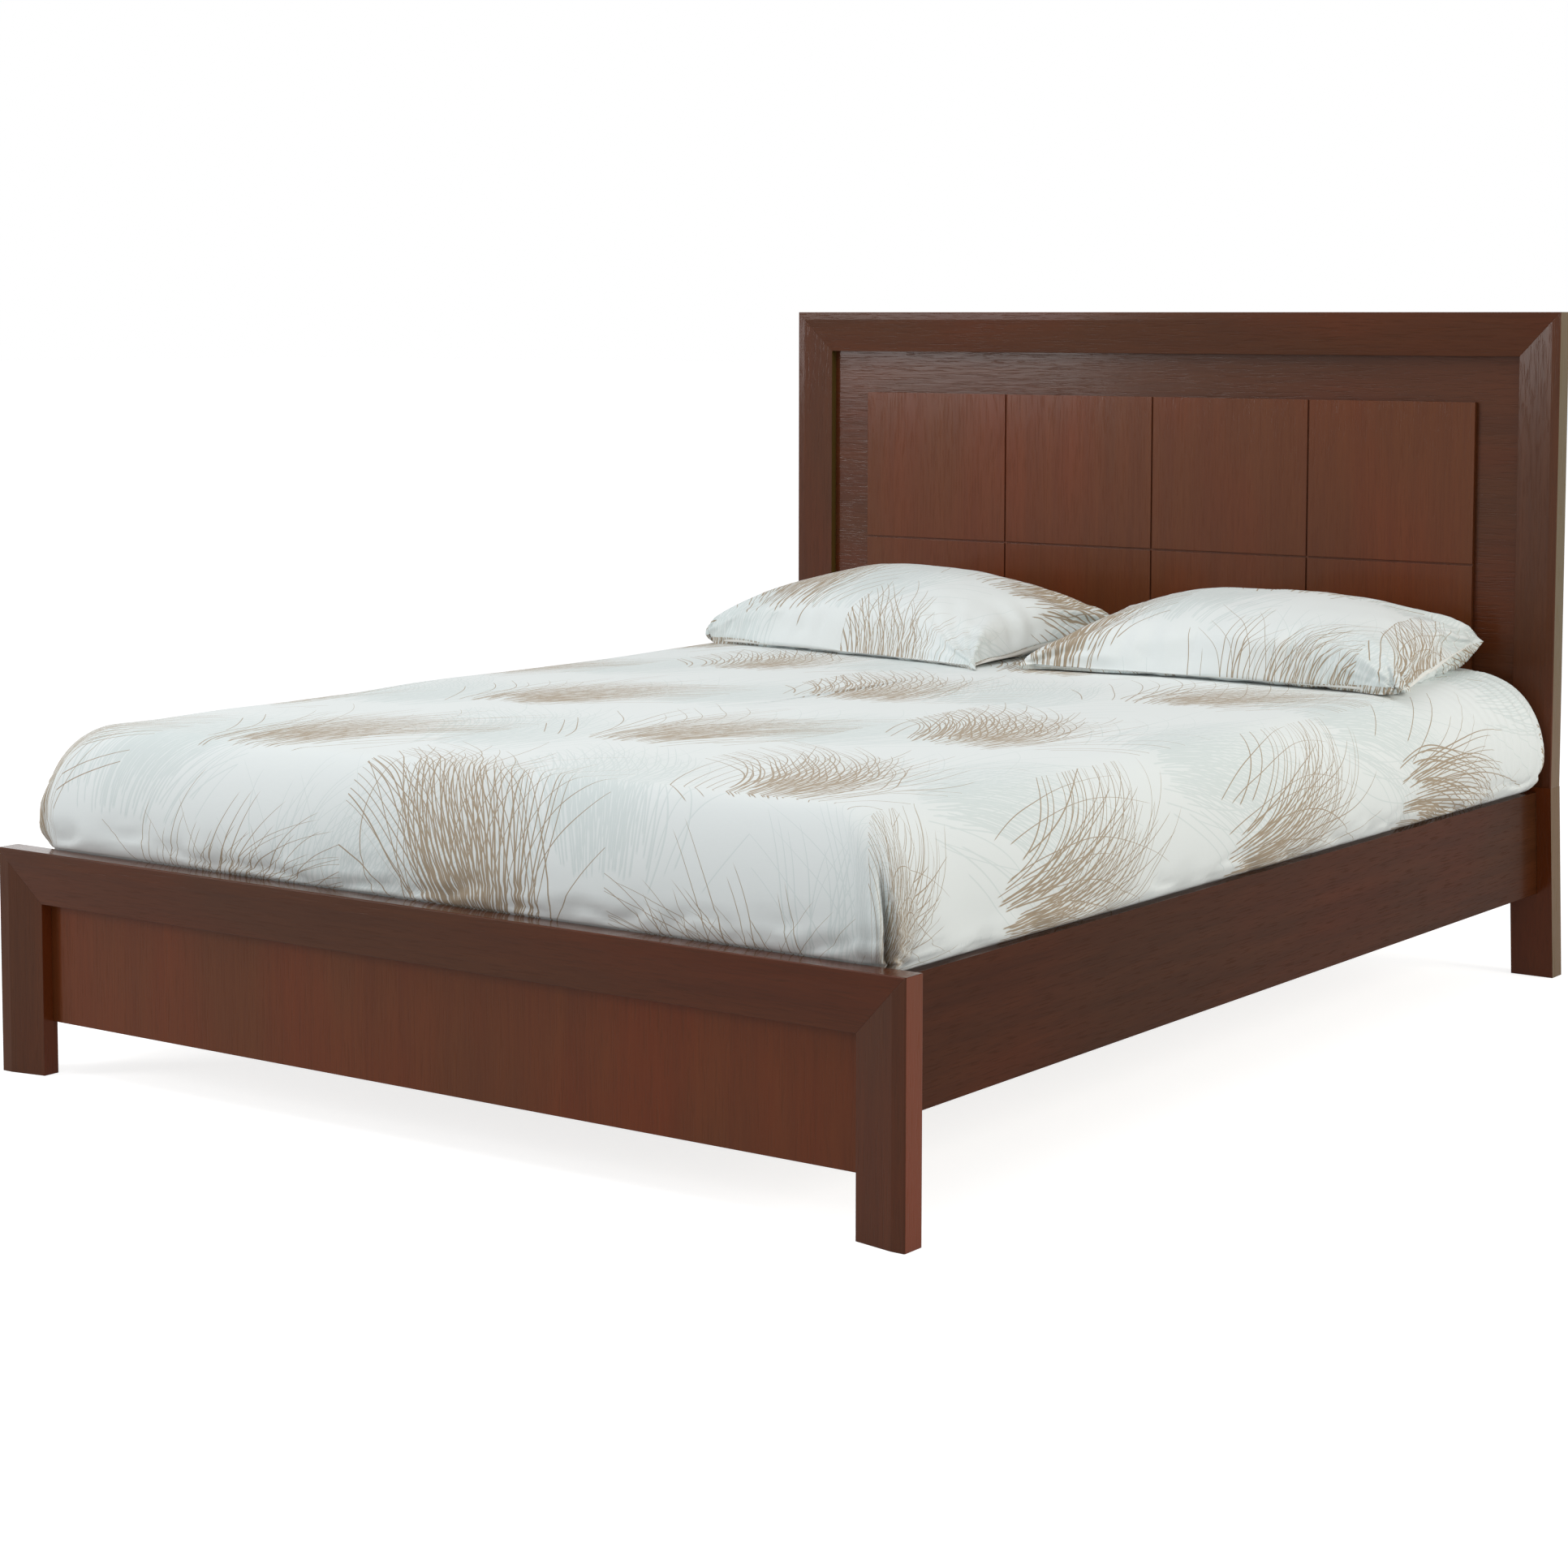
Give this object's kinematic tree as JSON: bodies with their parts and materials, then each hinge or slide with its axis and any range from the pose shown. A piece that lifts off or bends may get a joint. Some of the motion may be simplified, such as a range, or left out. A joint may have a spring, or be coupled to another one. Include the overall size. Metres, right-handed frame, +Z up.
{
  "type": "queen size bed with platform frame",
  "caption": "Low dark-stained wooden bed with a framed headboard, a low panelled footboard, slatted deck, mattress, tucked-in duvet and pillows.",
  "frame": {"origin": "on the floor, midway between the footboard's front and the rear legs' backs, on the bed's centre line", "axes": "+X towards the right side rail, +Y from footboard to headboard, +Z up"},
  "size_m": [1.69, 2.16, 1.18],
  "materials": {
    "stained_wood": "satin",
    "dark_stained_wood": "satin",
    "pale_wood": "matte",
    "zinc_steel": "satin",
    "nylon": "matte",
    "printed_cotton": "matte",
    "ticking": "matte",
    "filling": "matte"
  },
  "bodies": {
    "root": {"headboard_top_rail": "stained_wood", "headboard_stile_left": "stained_wood", "headboard_stile_right": "stained_wood", "headboard_bottom_rail": "stained_wood", "headboard_field_panel": "stained_wood", "headboard_centre_panel": "stained_wood", "headboard_leg_left": "stained_wood", "headboard_leg_right": "stained_wood", "footboard_top_rail": "stained_wood", "footboard_post_left": "stained_wood", "footboard_post_right": "stained_wood", "footboard_panel": "stained_wood", "side_rail_left": "dark_stained_wood", "side_rail_right": "dark_stained_wood", "headboard_cross_rail": "pale_wood", "footboard_back_rail": "pale_wood", "slat_cleat_left": "pale_wood", "slat_cleat_right": "pale_wood", "centre_beam": "pale_wood", "centre_leg_foot": "pale_wood", "centre_leg_head": "pale_wood", "dowels": "pale_wood", "slat_01": "pale_wood", "slat_02": "pale_wood", "slat_03": "pale_wood", "slat_04": "pale_wood", "slat_05": "pale_wood", "slat_06": "pale_wood", "slat_07": "pale_wood", "slat_08": "pale_wood", "slat_09": "pale_wood", "slat_10": "pale_wood", "slat_11": "pale_wood", "slat_12": "pale_wood", "slat_13": "pale_wood", "hook_plate_foot_left": "zinc_steel", "hook_plate_foot_right": "zinc_steel", "hook_plate_head_left": "zinc_steel", "hook_plate_head_right": "zinc_steel", "receiver_foot_left": "zinc_steel", "receiver_foot_right": "zinc_steel", "receiver_head_left": "zinc_steel", "receiver_head_right": "zinc_steel", "beam_bracket_foot": "zinc_steel", "beam_bracket_head": "zinc_steel", "leg_bolts": "zinc_steel", "plate_screws": "zinc_steel", "cleat_screws": "zinc_steel", "slat_screws": "zinc_steel", "bracket_screws": "zinc_steel", "panel_screws": "zinc_steel"},
    "leveller_foot": {"leveller_foot": "nylon"},
    "leveller_head": {"leveller_head": "nylon"},
    "mattress": {"mattress": "ticking"},
    "duvet": {"duvet": "printed_cotton"},
    "pillow_left": {"pillowcase_left": "printed_cotton", "pillow_filling_left": "filling"},
    "pillow_right": {"pillowcase_right": "printed_cotton", "pillow_filling_right": "filling"}
  },
  "joints": [
    {"name": "leveller_foot_screw", "type": "slide", "parent": "root", "child": "leveller_foot", "axis": [0, 0, -1], "range_m": [-0.0075, 0.01]},
    {"name": "leveller_head_screw", "type": "slide", "parent": "root", "child": "leveller_head", "axis": [0, 0, -1], "range_m": [-0.0075, 0.01]},
    {"name": "mattress_lift", "type": "slide", "parent": "root", "child": "mattress", "axis": [0, 0, 1], "range_m": [0, 0.3]},
    {"name": "duvet_lift", "type": "slide", "parent": "mattress", "child": "duvet", "axis": [0, 0, 1], "range_m": [0, 0.3]},
    {"name": "pillow_left_lift", "type": "slide", "parent": "duvet", "child": "pillow_left", "axis": [0, 0, 1], "range_m": [0, 0.25]},
    {"name": "pillow_right_lift", "type": "slide", "parent": "duvet", "child": "pillow_right", "axis": [0, 0, 1], "range_m": [0, 0.25]}
  ]
}
